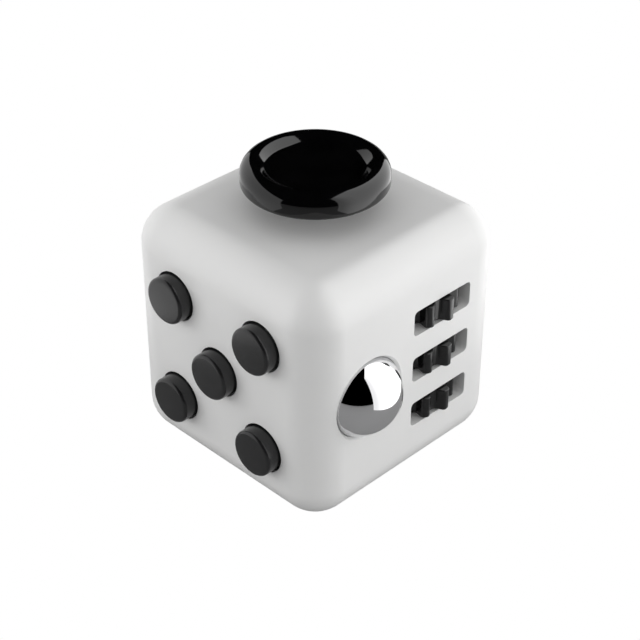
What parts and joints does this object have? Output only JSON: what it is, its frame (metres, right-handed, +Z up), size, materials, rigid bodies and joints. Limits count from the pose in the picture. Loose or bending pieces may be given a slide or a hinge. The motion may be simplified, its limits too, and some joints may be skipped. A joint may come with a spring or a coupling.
{
  "type": "fidget cube",
  "caption": "Palm-sized desk cube with push buttons, a rolling ball and thumb wheels, a gliding pad, a spin dial, a rocker and a thumb rest.",
  "frame": {"origin": "middle of the rest face at the bottom of the cube, between its four sides", "axes": "+Z up out of the glide face, -Y out of the click face, +X out of the roll face"},
  "size_m": [0.0397, 0.0371, 0.0391],
  "materials": {
    "case_white": "satin moulded plastic",
    "cover_white": "satin moulded plastic",
    "button_black": "satin moulded plastic",
    "pad_black": "polished plastic",
    "wheel_black": "satin moulded plastic",
    "dial_black": "satin moulded plastic",
    "rocker_black": "smooth moulded plastic",
    "ball_chrome": "mirror polished",
    "inner_grey": "as-moulded nylon",
    "inner_black": "as-moulded acetal",
    "screw_steel": "zinc plated",
    "pin_steel": "ground",
    "spring_brass": "rolled sheet",
    "silicone_grey": "soft silicone"
  },
  "bodies": {
    "case": {"shell": "case_white", "bottom_cover": "cover_white", "click_plate": "inner_grey", "click_plate_screws": "screw_steel", "click_dome_1": "spring_brass", "click_dome_2": "spring_brass", "click_dome_3": "spring_brass", "quiet_pad_1": "silicone_grey", "quiet_pad_2": "silicone_grey", "roll_bracket": "inner_grey", "roll_bracket_screws": "screw_steel", "wheel_axle": "pin_steel", "ball_spring": "spring_brass", "glide_housing": "inner_grey", "glide_screws": "screw_steel", "centering_ring": "silicone_grey", "rocker_housing": "rocker_black", "rocker_pin": "pin_steel", "rocker_retainer": "inner_grey", "rocker_contact": "spring_brass"},
    "button_1_body": {"button_1": "button_black"},
    "button_2_body": {"button_2": "button_black"},
    "button_3_body": {"button_3": "button_black"},
    "button_4_body": {"button_4": "button_black"},
    "button_5_body": {"button_5": "button_black"},
    "carriage": {"glide_carriage": "inner_black"},
    "joystick": {"joystick_stem": "inner_black", "glide_pad": "pad_black", "pad_screw": "screw_steel"},
    "ball_cup_body": {"ball_cup": "inner_grey"},
    "ball_seat_body": {"ball_seat": "silicone_grey"},
    "ball_body": {"ball": "ball_chrome"},
    "wheel_upper_body": {"wheel_upper": "wheel_black"},
    "wheel_middle_body": {"wheel_middle": "wheel_black"},
    "wheel_lower_body": {"wheel_lower": "wheel_black"},
    "dial": {"dial_knob": "dial_black", "dial_retainer": "inner_grey", "dial_screw": "screw_steel"},
    "rocker": {"rocker_paddle": "rocker_black", "rocker_plunger": "pin_steel"}
  },
  "joints": [
    {"name": "press_button_1", "type": "slide", "parent": "case", "child": "button_1_body", "axis": [0, 1, 0], "range_m": [0, 0.0008], "stiffness_N_per_m": 1500, "springref_m": -0.0002, "deforming": ["click_dome_1"]},
    {"name": "press_button_2", "type": "slide", "parent": "case", "child": "button_2_body", "axis": [0, 1, 0], "range_m": [0, 0.0008], "stiffness_N_per_m": 1500, "springref_m": -0.0002, "deforming": ["click_dome_2"]},
    {"name": "press_button_3", "type": "slide", "parent": "case", "child": "button_3_body", "axis": [0, 1, 0], "range_m": [0, 0.0008], "stiffness_N_per_m": 1500, "springref_m": -0.0002, "deforming": ["click_dome_3"]},
    {"name": "press_button_4", "type": "slide", "parent": "case", "child": "button_4_body", "axis": [0, 1, 0], "range_m": [0, 0.0008], "stiffness_N_per_m": 1500, "springref_m": -0.0002, "deforming": ["quiet_pad_1"]},
    {"name": "press_button_5", "type": "slide", "parent": "case", "child": "button_5_body", "axis": [0, 1, 0], "range_m": [0, 0.0008], "stiffness_N_per_m": 1500, "springref_m": -0.0002, "deforming": ["quiet_pad_2"]},
    {"name": "glide_left_right", "type": "slide", "parent": "case", "child": "carriage", "axis": [1, 0, 0], "range_m": [-0.001, 0.001], "stiffness_N_per_m": 800, "deforming": ["centering_ring"]},
    {"name": "glide_front_back", "type": "slide", "parent": "carriage", "child": "joystick", "axis": [0, 1, 0], "range_m": [-0.001, 0.001], "stiffness_N_per_m": 800},
    {"name": "press_ball", "type": "slide", "parent": "case", "child": "ball_cup_body", "axis": [-1, 0, 0], "range_m": [0, 0.0006], "stiffness_N_per_m": 2000, "springref_m": -0.0003, "deforming": ["ball_spring"]},
    {"name": "twist_ball", "type": "hinge", "parent": "ball_cup_body", "child": "ball_seat_body", "pos_m": [0.0146, -0.0074, 0.0165], "axis": [1, 0, 0], "continuous": true},
    {"name": "roll_ball", "type": "hinge", "parent": "ball_seat_body", "child": "ball_body", "pos_m": [0.0146, -0.0074, 0.0165], "axis": [0, 0, 1], "continuous": true},
    {"name": "turn_wheel_upper", "type": "hinge", "parent": "case", "child": "wheel_upper_body", "pos_m": [0.0126, 0.0051, 0.0165], "axis": [0, 0, 1], "continuous": true},
    {"name": "turn_wheel_middle", "type": "hinge", "parent": "case", "child": "wheel_middle_body", "pos_m": [0.0126, 0.0051, 0.0165], "axis": [0, 0, 1], "continuous": true},
    {"name": "turn_wheel_lower", "type": "hinge", "parent": "case", "child": "wheel_lower_body", "pos_m": [0.0126, 0.0051, 0.0165], "axis": [0, 0, 1], "continuous": true},
    {"name": "spin_dial", "type": "hinge", "parent": "case", "child": "dial", "pos_m": [-0.0165, 0, 0.0165], "axis": [1, 0, 0], "continuous": true},
    {"name": "flip_rocker", "type": "hinge", "parent": "case", "child": "rocker", "pos_m": [0, 0.014, 0.0165], "axis": [1, 0, 0], "range_deg": [0, 24]}
  ]
}
